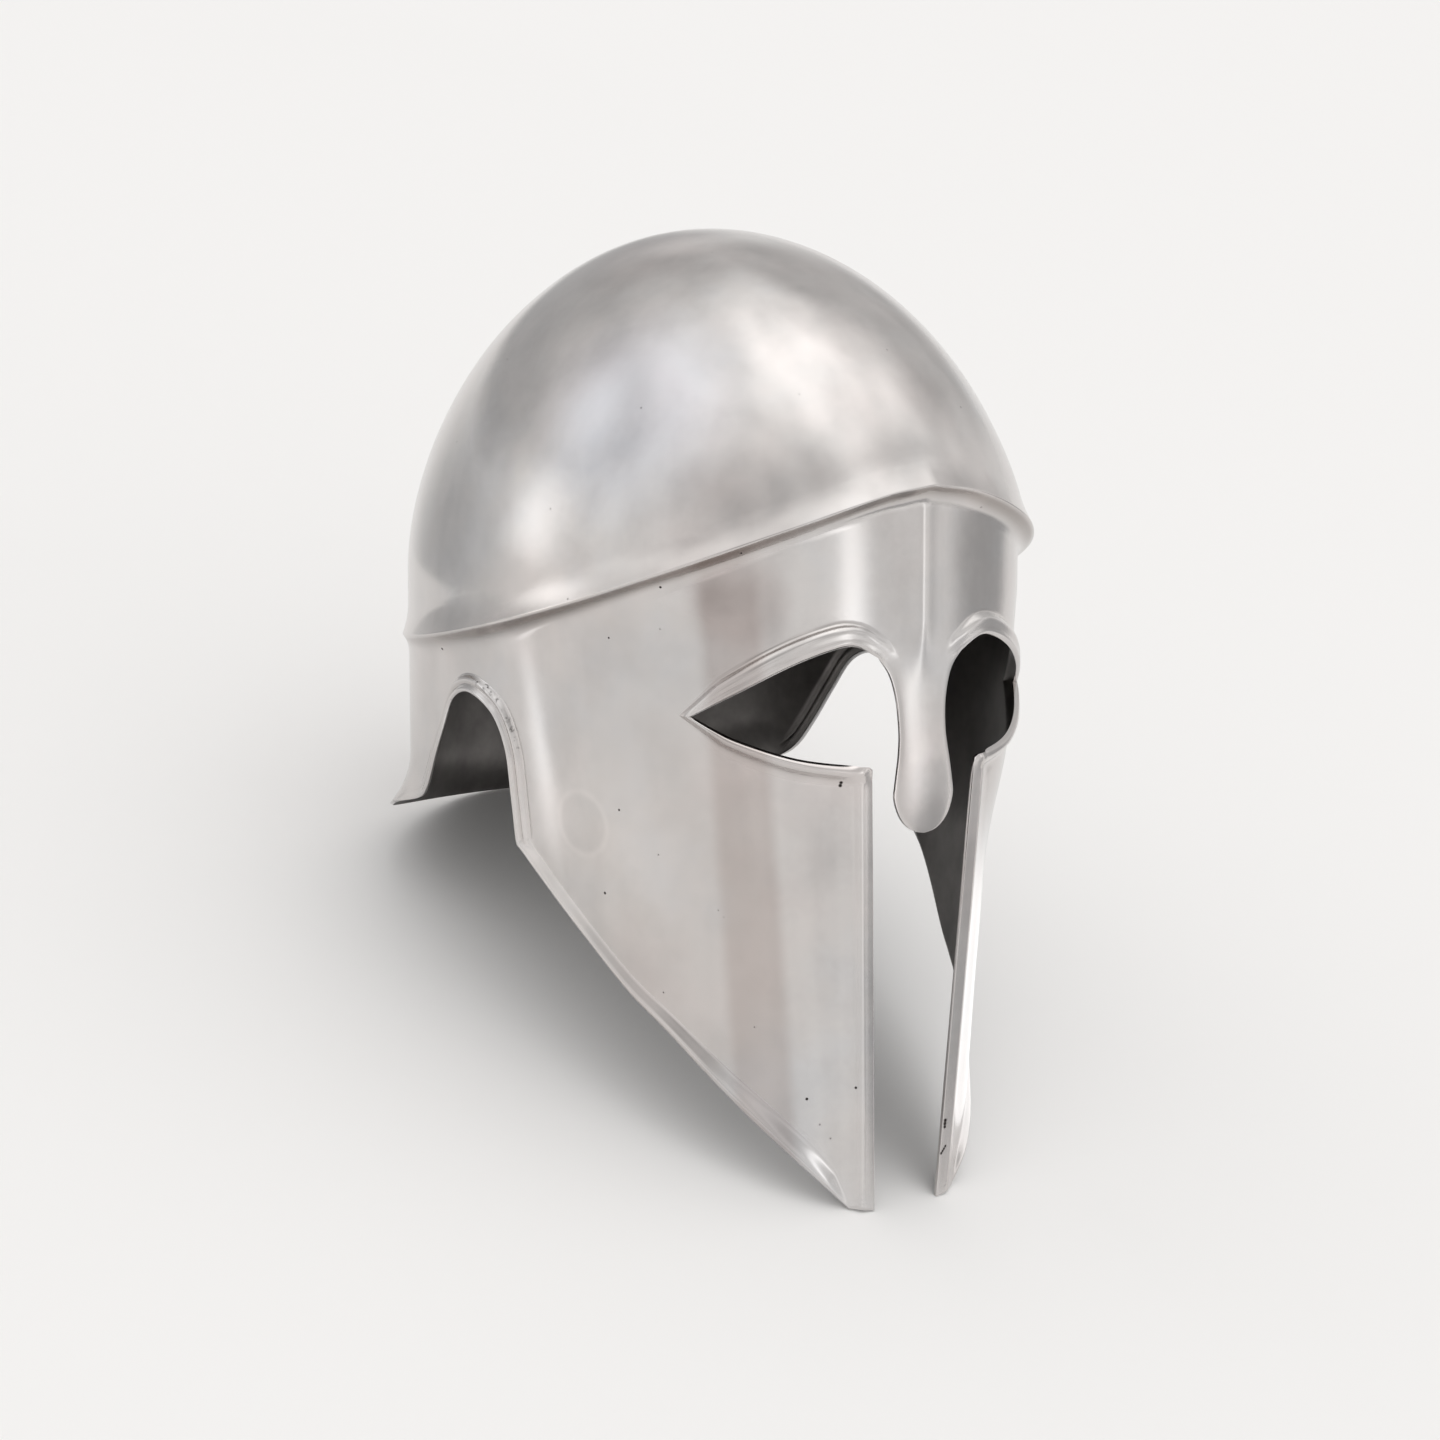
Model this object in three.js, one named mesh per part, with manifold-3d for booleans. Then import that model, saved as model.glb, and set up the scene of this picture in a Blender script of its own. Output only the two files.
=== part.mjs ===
// Greek helmet of the Corinthian kind: one shell of polished sheet steel, hollow and open below.
// The shell is drawn upright. The axis of the crown is Z, the face looks along -Y, the wearer's
// left is +X, and the tips of the cheek pieces are near z = 0. At the end the shell is laid back
// onto the three places that it rests on: the two cheek tips and the back of the neck guard.
//
// The face piece is drawn as a flat half pattern: across, the angle round the axis from the front
// centre line to the back centre line, rolled out at one radius, and upwards the height. The
// pattern is cut into triangles, rolled onto the head shape, raised along its borders and mirrored.

import * as THREE from 'three';
import Module from 'manifold-3d';

// Sheet and overall sizes, in millimetres. Angles are in degrees from the front.
const WALL = 1.2;
const HEIGHT = 320;
const ROLL_RADIUS = 104;

// Plan of the face piece: a rounded oval, wider than an ellipse at its corners
const FACE_HALF_WIDTH = 92;
const FACE_OVAL_POWER = 2.3;
const FOREHEAD_DEPTH = 110.6;
const CHEEK_DEPTH = 112;
const NAPE_DEPTH = 117;
const BROW_LEVEL = 190;
const CHEEK_LEVEL = 150;
// The cheeks lean in below the temples, towards the sides and, less, towards the front
const TEMPLE_LEVEL = 200;
const SIDE_LEAN = 0.127;
const FRONT_LEAN = 0.043;
const LEAN_ENDS = { from: 100, to: 140 };
// A soft keel runs down the middle of the forehead and the nasal, whose foot stands forwards
const KEEL_HEIGHT = 2.2;
const KEEL_HALF_WIDTH = 22;
const NASAL_FORWARD = { depth: 1.8, top: 168, foot: 130 };
const NASAL_REACH = 6.9;

// Crown: its plan oval at the equator, and the power of its rounded profile
const CROWN_HALF_WIDTH = 95;
const CROWN_FRONT_DEPTH = 122.5;
const CROWN_BACK_DEPTH = 117.5;
const CROWN_OVAL_POWER = 2.15;
const CROWN_EQUATOR = 202;
const CROWN_PROFILE_POWER = 1.77;

// Brow ridge: the height of its crest and how far the crest stands out of the crown
const BROW_RIDGE = [
  { angle: 0, height: 239, reach: 2.4 },
  { angle: 10, height: 236, reach: 2.2 },
  { angle: 25, height: 226.8, reach: 2 },
  { angle: 45, height: 213, reach: 2.2 },
  { angle: 65, height: 200.8, reach: 2.4 },
  { angle: 90, height: 190, reach: 2 },
  { angle: 120, height: 181.5, reach: 1 },
  { angle: 150, height: 178, reach: 0.3 },
  { angle: 180, height: 177, reach: 0.1 },
];
const RIDGE_FLARE_ABOVE = 11;
const RIDGE_FILLET_BELOW = 6.5;

// Borders of the half pattern, as points of [angle, height] on a smooth line
const NASAL_SIDE = [
  [0, 126], [2.6, 127.2], [4.9, 131], [6.3, 137.5], [6.1, 143], [5.3, 153], [5, 160], [5.4, 170],
  [6.8, 178.5],
];
const EYE_TOP = [
  [6.8, 178.5], [9.3, 184.2], [13.8, 188.2], [18.4, 187], [25, 182.3], [33, 174.5], [41.2, 166.3],
];
const EYE_BOTTOM = [[41.2, 166.3], [37, 162.2], [33, 158.8], [23.4, 153], [13.4, 150], [10.7, 150]];
const FLANGE_EDGE = [[10.7, 150], [7.3, 0.2]];
const TIP_CUT = [[7.3, 0.2], [12.4, 2]];
const JAW_EDGE = [[12.4, 2], [27.1, 27.7], [45.3, 57.8], [56, 72], [70, 91.5], [88.8, 115.6]];
const EAR_ARCH = [
  [88.8, 115.6], [89.5, 134.3], [91.2, 149.4], [95, 160.2], [101.5, 165.4], [108, 162],
  [113.3, 150.5], [118.5, 138.5], [122.5, 130.3], [126.5, 126], [131.7, 123.5],
];
const NECK_EDGE = [[131.7, 123.5], [140, 119], [152, 115], [165, 112.3], [180, 111.3]];
// The cheek's front is bent in along this line, which leaves a narrow flange that faces forwards
const FLANGE_BEND = { top: [13.2, 150], bottom: [9.9, 0] };
const FLANGE_HEADROOM = 1;

// Raised borders: the height at the edge, the width, and the power of the slope behind it. The band
// over the eye is level for part of its width and dies out towards the nasal. The border of the
// cheek's front gains height upwards.
const EYE_BAND = { height: 2.4, flat: 4.5, width: 8, fadeFrom: 5.5, fadeTo: 10 };
const EYE_LIP = { height: 3.2, width: 7, power: 2 };
const FRONT_FLARE = { height: 1.5, gain: 2, width: 9, power: 2 };
const JAW_FLARE = { height: 2.4, width: 7.5, power: 1.4 };
const EAR_FLARE = { height: 2.6, width: 6, power: 2 };
const NECK_FLARE = { height: 5, width: 18, power: 2 };

// Fineness of the triangles
const EDGE_STEP = 4.5;
const RIDGE_STEP = 6;
const BORDER_RINGS = [2.2, 4.8, 8];
const FIELD_STEP = 10;
const CROWN_RINGS = [0.035, 0.1, 0.19, 0.29, 0.39, 0.49, 0.59, 0.69, 0.79, 0.89];
const CROWN_RING_FILL = 1.05;
const MEASURE_STEP = 1.5;
// Room between points: on the bend in millimetres, then as shares of a ring's or the field's step
const BEND_ROOM = 2;
const RING_DEPTH_SHARE = 0.9;
const RING_ROOM_SHARE = 0.8;
const FIELD_EDGE_SHARE = 0.4;
const FIELD_ROOM_SHARE = 0.5;
// Points are moved by a hair before they are joined, and triangles with no area are left out
const NUDGE = { size: 1e-4, acrossRate: 7, upRate: 3 };
const FAR_AWAY = 1e5;
const NO_AREA = 1e-6;
const SAME_PLACE = 1e-4;

// The three resting places are filed flat by this much
const REST_FLAT = 0.35;
const TILT_PASSES = 4;
const FILE_BLOCK = 3 * HEIGHT;

const STEEL = { color: 0xbab5b2, roughness: 0.24, metalness: 1 };

const { smoothstep, degToRad: rad } = THREE.MathUtils;
const clamp01 = (value) => Math.min(1, Math.max(0, value));

// Smooth curve through the rows of a table, with the slope at each row taken from its neighbours
function curveThrough(rows, column) {
  const slopes = rows.map((row, i) => {
    const before = rows[Math.max(0, i - 1)];
    const after = rows[Math.min(rows.length - 1, i + 1)];
    return (after[column] - before[column]) / (after.angle - before.angle);
  });
  slopes[rows.length - 1] = 0;
  return (angle) => {
    let i = rows.length - 2;
    while (i > 0 && rows[i].angle > angle) i -= 1;
    const span = rows[i + 1].angle - rows[i].angle;
    const t = clamp01((angle - rows[i].angle) / span);
    const start = rows[i][column];
    const rise = rows[i + 1][column] - start;
    const ease = t * t * (3 - 2 * t);
    const lead = slopes[i] * span * t * (1 - t) * (1 - t);
    const tail = slopes[i + 1] * span * t * t * (t - 1);
    return start + rise * ease + lead + tail;
  };
}

const ridgeHeight = curveThrough(BROW_RIDGE, 'height');
const ridgeReach = curveThrough(BROW_RIDGE, 'reach');

// Radius of an oval in the direction of an angle
function ovalRadius(angle, halfWidth, depth, power) {
  const across = Math.abs(Math.sin(rad(angle))) / halfWidth;
  const along = Math.abs(Math.cos(rad(angle))) / depth;
  return (across ** power + along ** power) ** (-1 / power);
}

function crownRadius(angle, height) {
  const depth = angle < 90 ? CROWN_FRONT_DEPTH : CROWN_BACK_DEPTH;
  const rise = clamp01((height - CROWN_EQUATOR) / (HEIGHT - CROWN_EQUATOR));
  const profile = Math.sqrt(1 - rise ** CROWN_PROFILE_POWER);
  return profile * ovalRadius(angle, CROWN_HALF_WIDTH, depth, CROWN_OVAL_POWER);
}

function crestRadius(angle) {
  return crownRadius(angle, ridgeHeight(angle)) + ridgeReach(angle);
}

// Radius of the plain face piece, before its borders are raised
function faceRadius(angle, height) {
  const drop = Math.max(0, TEMPLE_LEVEL - height);
  const leaning = 1 - smoothstep(angle, LEAN_ENDS.from, LEAN_ENDS.to);
  const halfWidth = FACE_HALF_WIDTH - SIDE_LEAN * drop * leaning;
  const aboveCheek = smoothstep(height, CHEEK_LEVEL, BROW_LEVEL);
  const belowCheek = FRONT_LEAN * Math.max(0, CHEEK_LEVEL - height);
  const front = CHEEK_DEPTH + (FOREHEAD_DEPTH - CHEEK_DEPTH) * aboveCheek - belowCheek;
  const radius = ovalRadius(angle, halfWidth, angle < 90 ? front : NAPE_DEPTH, FACE_OVAL_POWER);
  const keel = clamp01(1 - (ROLL_RADIUS * rad(angle)) / KEEL_HALF_WIDTH);
  const { depth, top, foot } = NASAL_FORWARD;
  const forward = angle < NASAL_REACH ? depth * (1 - smoothstep(height, foot, top)) : 0;
  return radius + KEEL_HEIGHT * keel ** 2 + forward;
}

// Flat pattern: millimetres across and up
const onPattern = ([angle, height]) => new THREE.Vector2(ROLL_RADIUS * rad(angle), height);
const angleOf = (point) => THREE.MathUtils.radToDeg(point.x / ROLL_RADIUS);

function sampleRun(rows, step) {
  const curve = new THREE.SplineCurve(rows.map(onPattern));
  return curve.getSpacedPoints(Math.max(1, Math.round(curve.getLength() / step)));
}

function sampleRidge(step) {
  const rows = [];
  for (let angle = 180; angle >= 0; angle -= 1) rows.push([angle, ridgeHeight(angle)]);
  return sampleRun(rows, step).map((point) => {
    const angle = angleOf(point);
    return onPattern([angle, ridgeHeight(angle)]);
  });
}

function distanceToRun(point, run) {
  let best = Infinity;
  const segment = new THREE.Vector2();
  const offset = new THREE.Vector2();
  for (let i = 1; i < run.length; i += 1) {
    segment.subVectors(run[i], run[i - 1]);
    offset.subVectors(point, run[i - 1]);
    const t = clamp01(offset.dot(segment) / segment.lengthSq());
    best = Math.min(best, offset.addScaledVector(segment, -t).length());
  }
  return best;
}

const measured = {
  eyeTop: sampleRun(EYE_TOP, MEASURE_STEP),
  eyeBottom: sampleRun(EYE_BOTTOM, MEASURE_STEP),
  jaw: sampleRun(JAW_EDGE, MEASURE_STEP),
  ear: sampleRun(EAR_ARCH, MEASURE_STEP),
  neck: sampleRun(NECK_EDGE, MEASURE_STEP),
  bend: sampleRun([FLANGE_BEND.top, FLANGE_BEND.bottom], MEASURE_STEP),
};

function flare({ height, width, power }, distance) {
  return height * clamp01(1 - distance / width) ** power;
}

// Height of the raised borders over the plain face piece
function relief(point) {
  const bandFall = smoothstep(distanceToRun(point, measured.eyeTop), EYE_BAND.flat, EYE_BAND.width);
  const bandFade = smoothstep(angleOf(point), EYE_BAND.fadeFrom, EYE_BAND.fadeTo);
  const frontHeight = FRONT_FLARE.height + FRONT_FLARE.gain * clamp01(point.y / FLANGE_BEND.top[1]);
  return Math.max(
    flare({ ...FRONT_FLARE, height: frontHeight }, distanceToRun(point, measured.bend)),
    EYE_BAND.height * (1 - bandFall) * bandFade,
    flare(EYE_LIP, distanceToRun(point, measured.eyeBottom)),
    flare(JAW_FLARE, distanceToRun(point, measured.jaw)),
    flare(EAR_FLARE, distanceToRun(point, measured.ear)),
    flare(NECK_FLARE, distanceToRun(point, measured.neck)),
  );
}

const around = (angle, radius, height) =>
  new THREE.Vector3(radius * Math.sin(rad(angle)), -radius * Math.cos(rad(angle)), height);

function bendAngle(height) {
  const [topAngle, topHeight] = FLANGE_BEND.top;
  const [bottomAngle, bottomHeight] = FLANGE_BEND.bottom;
  return THREE.MathUtils.mapLinear(height, bottomHeight, topHeight, bottomAngle, topAngle);
}

// Rolls a point of the half pattern onto the helmet's left side
function rollFace(point) {
  const height = point.y;
  const angle = angleOf(point);
  const below = ridgeHeight(angle) - height;
  const bend = bendAngle(height);
  const besideSlot = height < FLANGE_BEND.top[1] + FLANGE_HEADROOM;
  if (besideSlot && angle < bend && angle > NASAL_REACH) {
    const bendRadius = faceRadius(bend, height) + relief(onPattern([bend, height]));
    const corner = around(bend, bendRadius, height);
    corner.x -= ROLL_RADIUS * rad(bend - angle);
    return corner;
  }
  const plain = faceRadius(angle, height);
  const fillet = clamp01(1 - below / RIDGE_FILLET_BELOW) ** 2;
  return around(angle, plain + (crestRadius(angle) - plain) * fillet + relief(point), height);
}

// Point of the crown, from the crest of the ridge (share 0) to the top (share 1)
function crownPoint(angle, share) {
  const foot = ridgeHeight(angle);
  const height = foot + (HEIGHT - foot) * Math.sin((share * Math.PI) / 2);
  const flareUp = clamp01(1 - (height - foot) / RIDGE_FLARE_ABOVE) ** 2;
  return around(angle, crownRadius(angle, height) + ridgeReach(angle) * flareUp, height);
}

function insidePolygon(point, polygon) {
  let inside = false;
  for (let i = 0, j = polygon.length - 1; i < polygon.length; j = i, i += 1) {
    const a = polygon[i];
    const b = polygon[j];
    if (a.y > point.y === b.y > point.y) continue;
    if (point.x < a.x + ((b.x - a.x) * (point.y - a.y)) / (b.y - a.y)) inside = !inside;
  }
  return inside;
}

// Delaunay triangles of flat points, one point added at a time. The points are nudged by a hair
// first, because four corners on one circle have no single answer.
function triangulate(points) {
  const nudged = points.map(({ x, y }, index) => {
    const across = NUDGE.size * Math.sin(NUDGE.acrossRate * index);
    const up = NUDGE.size * Math.cos(NUDGE.upRate * index);
    return new THREE.Vector2(x + across, y + up);
  });
  const all = [
    ...nudged,
    new THREE.Vector2(-FAR_AWAY, -FAR_AWAY),
    new THREE.Vector2(FAR_AWAY, -FAR_AWAY),
    new THREE.Vector2(0, FAR_AWAY),
  ];
  const circled = (a, b, c) => {
    const u = all[b].clone().sub(all[a]);
    const v = all[c].clone().sub(all[a]);
    const area = 2 * u.cross(v);
    const centre = new THREE.Vector2(
      (v.y * u.lengthSq() - u.y * v.lengthSq()) / area,
      (u.x * v.lengthSq() - v.x * u.lengthSq()) / area,
    );
    return { corners: [a, b, c], reach: centre.lengthSq(), centre: centre.add(all[a]) };
  };
  let triangles = [circled(points.length, points.length + 1, points.length + 2)];
  nudged.forEach((point, index) => {
    const rim = new Map();
    triangles = triangles.filter((triangle) => {
      if (triangle.centre.distanceToSquared(point) >= triangle.reach) return true;
      triangle.corners.forEach((from, k) => {
        const to = triangle.corners[(k + 1) % 3];
        if (!rim.delete(`${to} ${from}`)) rim.set(`${from} ${to}`, [from, to]);
      });
      return false;
    });
    for (const [from, to] of rim.values()) triangles.push(circled(from, to, index));
  });
  return triangles.map((triangle) => triangle.corners).filter((c) => Math.max(...c) < points.length);
}

// Outline of the half pattern, anticlockwise from the foot of the nasal
function patternOutline() {
  const topFront = [0, ridgeHeight(0)];
  const topBack = [180, ridgeHeight(180)];
  const eyeAndNasal = [NASAL_SIDE, EYE_TOP, EYE_BOTTOM];
  const cheekAndNeck = [FLANGE_EDGE, TIP_CUT, JAW_EDGE, EAR_ARCH, NECK_EDGE];
  const runs = [
    ...[...eyeAndNasal, ...cheekAndNeck].map((rows) => sampleRun(rows, EDGE_STEP)),
    sampleRun([NECK_EDGE.at(-1), topBack], FIELD_STEP),
    sampleRidge(RIDGE_STEP),
    sampleRun([topFront, NASAL_SIDE[0]], FIELD_STEP),
  ];
  return runs.flatMap((run) => run.slice(0, -1));
}

// Points inside the pattern: rings along its border, the line of the flange's bend, and an open field
function patternField(outline) {
  const closed = [...outline, outline[0]];
  const kept = [...outline];
  const keep = (point, clearance) => {
    const crowded = kept.some((other) => other.distanceTo(point) < clearance);
    if (!crowded && insidePolygon(point, outline)) kept.push(point);
  };
  const bend = sampleRun([FLANGE_BEND.top, FLANGE_BEND.bottom], EDGE_STEP);
  bend.slice(1, -1).forEach((point) => keep(point, BEND_ROOM));
  BORDER_RINGS.forEach((ring) => {
    outline.forEach((point, i) => {
      const next = closed[i + 1];
      const before = outline.at(i - 1);
      const along = next.clone().sub(before).normalize();
      const inward = new THREE.Vector2(-along.y, along.x);
      const offset = point.clone().addScaledVector(inward, ring);
      const clearOfOthers = distanceToRun(offset, closed) > ring * RING_DEPTH_SHARE;
      if (clearOfOthers) keep(offset, ring * RING_ROOM_SHARE);
    });
  });
  const rowStep = FIELD_STEP * Math.sin(rad(60));
  const edgeRoom = BORDER_RINGS.at(-1) + FIELD_STEP * FIELD_EDGE_SHARE;
  for (let row = 0; row * rowStep < HEIGHT; row += 1) {
    for (let across = 0; across < ROLL_RADIUS * Math.PI; across += FIELD_STEP) {
      const point = new THREE.Vector2(across + ((row % 2) * FIELD_STEP) / 2, row * rowStep);
      if (distanceToRun(point, closed) > edgeRoom) keep(point, FIELD_STEP * FIELD_ROOM_SHARE);
    }
  }
  return kept;
}

// One sheet of shared corners: two face halves and the crown, with its faces pointing out
function outerSheet() {
  const corners = [];
  const faces = [];
  const places = new Map();
  const cornerAt = (place) => {
    const key = place.toArray().map((value) => Math.round(value / SAME_PLACE)).join(' ');
    if (!places.has(key)) {
      places.set(key, corners.length);
      corners.push(place);
    }
    return places.get(key);
  };
  const mirrored = (place) => place.clone().multiply(new THREE.Vector3(-1, 1, 1));

  const outline = patternOutline();
  const field = patternField(outline);
  const middle = new THREE.Vector2();
  for (const [a, b, c] of triangulate(field)) {
    middle.copy(field[a]).add(field[b]).add(field[c]).divideScalar(3);
    const area = field[b].clone().sub(field[a]).cross(field[c].clone().sub(field[a]));
    if (Math.abs(area) < NO_AREA || !insidePolygon(middle, outline)) continue;
    const left = [a, b, c].map((index) => rollFace(field[index]));
    faces.push(left.map(cornerAt));
    faces.push(left.map(mirrored).map(cornerAt).reverse());
  }

  // The crown is a disc: its rim is the crest of the ridge, and its rings carry fewer corners upwards
  const crest = sampleRidge(RIDGE_STEP).map(angleOf);
  const turns = [...crest, ...crest.slice(1, -1).reverse().map((angle) => -angle)];
  const disc = [];
  const hub = new THREE.Vector2();
  const addRing = (share, angles) =>
    angles.forEach((angle) => {
      const spot = new THREE.Vector2(ROLL_RADIUS * (1 - share), 0).rotateAround(hub, rad(angle));
      const place = crownPoint(Math.abs(angle), share);
      disc.push({ spot, place: angle < 0 ? mirrored(place) : place });
    });
  addRing(0, turns);
  CROWN_RINGS.forEach((share, ring) => {
    const count = Math.round(turns.length * Math.min(1, (1 - share) * CROWN_RING_FILL));
    const start = ring % 2 ? 180 / count : 0;
    addRing(share, Array.from({ length: count }, (_, i) => 180 - start - (360 * i) / count));
  });
  disc.push({ spot: hub, place: new THREE.Vector3(0, 0, HEIGHT) });
  for (const triangle of triangulate(disc.map(({ spot }) => spot))) {
    faces.push(triangle.map((index) => cornerAt(disc[index].place)));
  }
  return { corners, faces };
}

// Gives the sheet its thickness inwards and closes its edges
function thicken({ corners, faces }) {
  const normals = corners.map(() => new THREE.Vector3());
  const edges = new Set();
  const triangle = new THREE.Triangle();
  const normal = new THREE.Vector3();
  for (const face of faces) {
    triangle.set(...face.map((index) => corners[index]));
    triangle.getNormal(normal).multiplyScalar(triangle.getArea());
    face.forEach((index, k) => {
      normals[index].add(normal);
      edges.add(`${index} ${face[(k + 1) % 3]}`);
    });
  }
  const inner = corners.map((corner, i) =>
    corner.clone().addScaledVector(normals[i].normalize(), -WALL),
  );
  const count = corners.length;
  const closed = [...faces, ...faces.map(([a, b, c]) => [c + count, b + count, a + count])];
  for (const edge of edges) {
    const [from, to] = edge.split(' ').map(Number);
    if (edges.has(`${to} ${from}`)) continue;
    closed.push([to, from, from + count], [to, from + count, to + count]);
  }
  return { corners: [...corners, ...inner], faces: closed };
}

// Height of a place over the rest plane's slope
const levelAt = ({ y, z }, tilt) => z * Math.cos(tilt) - y * Math.sin(tilt);

// Slope of the plane that the helmet rests on: under the nape and both cheek tips
function restTilt(corners) {
  const front = corners.filter(({ y }) => y < 0);
  const back = corners.filter(({ y }) => y > 0);
  let tilt = 0;
  for (let pass = 0; pass < TILT_PASSES; pass += 1) {
    const lower = (a, b) => (levelAt(b, tilt) < levelAt(a, tilt) ? b : a);
    const nape = back.reduce(lower);
    tilt = Math.max(...front.map(({ y, z }) => Math.atan2(nape.z - z, nape.y - y)));
  }
  return tilt;
}

const wasm = await Module();
wasm.setup();

function solidFrom({ corners, faces }) {
  const vertProperties = new Float32Array(corners.flatMap((corner) => corner.toArray()));
  const triVerts = new Uint32Array(faces.flat());
  return new wasm.Manifold(new wasm.Mesh({ numProp: 3, vertProperties, triVerts }));
}

// Block below the rest plane, for filing the three resting places
function blockUnder(tilt, top) {
  const box = new THREE.BoxGeometry(FILE_BLOCK, FILE_BLOCK, FILE_BLOCK).toNonIndexed();
  box.translate(0, 0, top - FILE_BLOCK / 2).rotateX(tilt);
  const places = [];
  const faces = [];
  const corner = new THREE.Vector3();
  const position = box.getAttribute('position');
  for (let i = 0; i < position.count; i += 1) {
    corner.fromBufferAttribute(position, i);
    let index = places.findIndex((place) => place.distanceTo(corner) < SAME_PLACE);
    if (index < 0) index = places.push(corner.clone()) - 1;
    if (i % 3 === 0) faces.push([]);
    faces.at(-1).push(index);
  }
  return solidFrom({ corners: places, faces });
}

const shell = thicken(outerSheet());
const tilt = restTilt(shell.corners);
const floor = Math.min(...shell.corners.map((corner) => levelAt(corner, tilt))) + REST_FLAT;
const trimmed = solidFrom(shell).subtract(blockUnder(tilt, floor)).getMesh();

const geometry = new THREE.BufferGeometry();
geometry.setAttribute('position', new THREE.BufferAttribute(trimmed.vertProperties, 3));
geometry.setIndex(new THREE.BufferAttribute(trimmed.triVerts, 1));
geometry.computeVertexNormals();

const helmetShell = new THREE.Mesh(geometry, new THREE.MeshStandardMaterial(STEEL));
helmetShell.name = 'helmet_shell';

// The helmet lies back on its rest plane, which is z = 0, with its box centred on the origin
const helmet = new THREE.Group();
helmet.add(helmetShell);
helmet.rotation.x = -tilt;
const box = new THREE.Box3().setFromObject(helmet, true);
const centre = box.getCenter(new THREE.Vector3());
helmet.position.set(-centre.x, -centre.y, -box.min.z);

const part = new THREE.Group();
part.add(helmet);
export default part;
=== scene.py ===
# %% [markdown]
# # A greek helmet in polished steel
# This lesson dresses a helmet of the old Corinthian kind: one shell of sheet steel with a domed
# crown, a brow ridge, almond eyes, a nasal and two long cheek pieces. Nothing on it moves. The
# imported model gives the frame, the size and the floor. The lesson makes a finer shell in the same
# place, polishes it and lights it.

# %% Load the frame
import math

import bmesh
import bpy
from mathutils import Matrix, Vector, noise
from mathutils.geometry import interpolate_bezier, intersect_point_line


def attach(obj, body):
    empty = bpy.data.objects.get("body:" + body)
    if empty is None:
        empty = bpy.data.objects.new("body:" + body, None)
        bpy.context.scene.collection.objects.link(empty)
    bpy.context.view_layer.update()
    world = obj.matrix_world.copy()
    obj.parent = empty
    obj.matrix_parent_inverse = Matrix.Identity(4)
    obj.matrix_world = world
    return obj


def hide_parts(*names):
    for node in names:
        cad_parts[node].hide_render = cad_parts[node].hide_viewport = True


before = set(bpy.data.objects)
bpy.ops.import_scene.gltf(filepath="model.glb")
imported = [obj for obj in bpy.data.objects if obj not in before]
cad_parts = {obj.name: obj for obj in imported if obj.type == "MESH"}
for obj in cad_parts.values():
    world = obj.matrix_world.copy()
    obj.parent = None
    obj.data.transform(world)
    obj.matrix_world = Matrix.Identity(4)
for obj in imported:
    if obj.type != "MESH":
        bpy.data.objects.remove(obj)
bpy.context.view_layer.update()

MM = 0.001

# %% [markdown]
# ## How the helmet lies
# A helmet like this can't stand on its two pointed cheeks. Put down by itself it lies back on
# the tips of the cheeks and the rim of the nape, so the face looks up. It is easier to shape
# upright, with the axis of the crown along Z and the cheek tips at the bottom. One matrix then
# lays the finished shell down. Millimetres are used until that last step.

# %% From upright to lying
REST_TILT = math.radians(26.205)
REST_PLACE = Vector((0, -55.06, -46.34))
lay_down = Matrix.Translation(REST_PLACE) @ Matrix.Rotation(-REST_TILT, 4, "X")
lay_down_to_metres = Matrix.Scale(MM, 4) @ lay_down
print("top of the crown when it lies:", [round(v, 4) for v in lay_down_to_metres @ Vector((0, 0, 320))])

# %% [markdown]
# ## Camera
# The view is from the wearer's right front and a little from above, through a long lens. A
# camera can be turned with Euler angles, but here its three axes are known: right, up and back.
# They are the columns of its matrix. The camera is placed on the upright helmet and then laid down
# with it, so the helmet is seen as it should be and the floor leans in the picture.

# %% Place the camera
VIEW_AZIMUTH = math.radians(-38)
VIEW_ELEVATION = math.radians(8)
VIEW_TARGET = Vector((0, -5, 151))
VIEW_DISTANCE = 1215.3
LENS = 87.5

view_back = Vector((
    math.sin(VIEW_AZIMUTH) * math.cos(VIEW_ELEVATION),
    -math.cos(VIEW_AZIMUTH) * math.cos(VIEW_ELEVATION),
    math.sin(VIEW_ELEVATION),
))
view_right = Vector((math.cos(VIEW_AZIMUTH), math.sin(VIEW_AZIMUTH), 0))
view_up = view_back.cross(view_right)
upright_view = Matrix((view_right, view_up, view_back)).transposed().to_4x4()
upright_view.translation = VIEW_TARGET + view_back * VIEW_DISTANCE
rest_view = lay_down @ upright_view
rest_view.translation *= MM

camera_data = bpy.data.cameras.new("studio_camera")
camera_data.lens = LENS
camera_data.sensor_width = 36
camera = bpy.data.objects.new("studio_camera", camera_data)
camera.matrix_world = rest_view
bpy.context.scene.collection.objects.link(camera)
bpy.context.scene.camera = camera
print("camera at", [round(value, 3) for value in camera.location])

# %% [markdown]
# ## The shape of the head
# A smith raises such a shell over stakes until it follows a head: an oval plan, sides that lean
# in below the temples, and a soft keel down the forehead. A subdivided sphere could be pushed
# into this shape by hand, but the rims would then be hard to place. Here the shape is written as a
# radius around the axis for each angle from the front and each height. A flat pattern can be
# rolled onto it.

# %% Ovals and soft steps
def between(value, low, high):
    return min(1, max(0, (value - low) / (high - low)))


def soft_step(value, low, high):
    share = between(value, low, high)
    return share * share * (3 - 2 * share)


def oval_radius(angle, half_width, depth, power):
    across = abs(math.sin(angle)) / half_width
    along = abs(math.cos(angle)) / depth
    return (across ** power + along ** power) ** (-1 / power)


print("an oval 92 by 110, seen at 45 degrees:", round(oval_radius(math.radians(45), 92, 110, 2.3), 1))

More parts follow.
